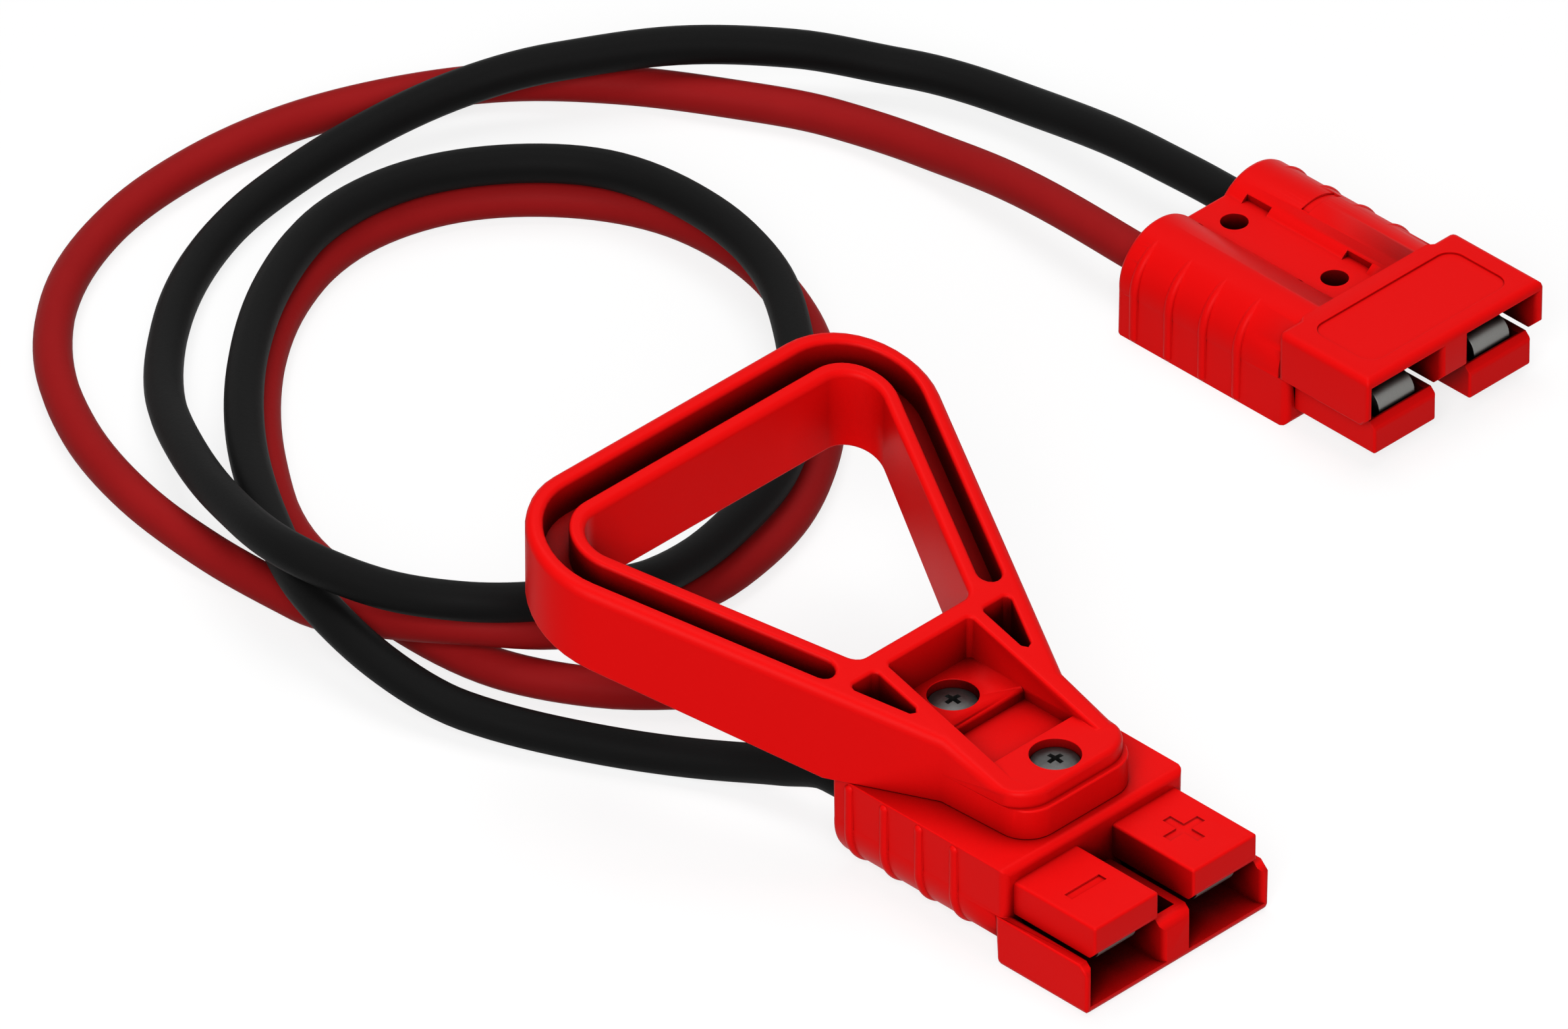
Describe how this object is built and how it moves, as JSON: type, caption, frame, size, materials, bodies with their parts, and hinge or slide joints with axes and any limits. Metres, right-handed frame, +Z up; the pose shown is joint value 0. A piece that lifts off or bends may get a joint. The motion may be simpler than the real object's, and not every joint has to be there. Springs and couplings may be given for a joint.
{
  "type": "power jumper cable",
  "caption": "Red and black power leads joining genderless flat-blade connectors with ribbed, lobed housings; a forked pull handle is screwed to one connector.",
  "frame": {"origin": "bottom centre of the box of the rigid pieces, on the surface that both connectors lie on", "axes": "+X the way both connectors plug in, +Y from the connector with the handle to the other one, +Z up"},
  "size_m": [0.2392, 0.1788, 0.0457],
  "materials": {
    "red_plastic": "satin moulded",
    "dark_steel": "dark oxide",
    "nut_steel": "plated",
    "contact_metal": "silver plated",
    "spring_steel": "plain",
    "copper": "stranded",
    "red_jacket": "matte",
    "black_jacket": "matte"
  },
  "bodies": {
    "root": {"handle": "red_plastic", "handle_screws": "dark_steel", "handle_nuts": "nut_steel", "front_housing": "red_plastic", "rear_housing": "red_plastic", "front_positive_contact": "contact_metal", "front_positive_spring": "spring_steel", "front_positive_core": "copper", "front_negative_contact": "contact_metal", "front_negative_spring": "spring_steel", "front_negative_core": "copper", "rear_positive_contact": "contact_metal", "rear_positive_spring": "spring_steel", "rear_positive_core": "copper", "rear_negative_contact": "contact_metal", "rear_negative_spring": "spring_steel", "rear_negative_core": "copper", "red_cable": "red_jacket", "black_cable": "black_jacket"}
  },
  "joints": []
}
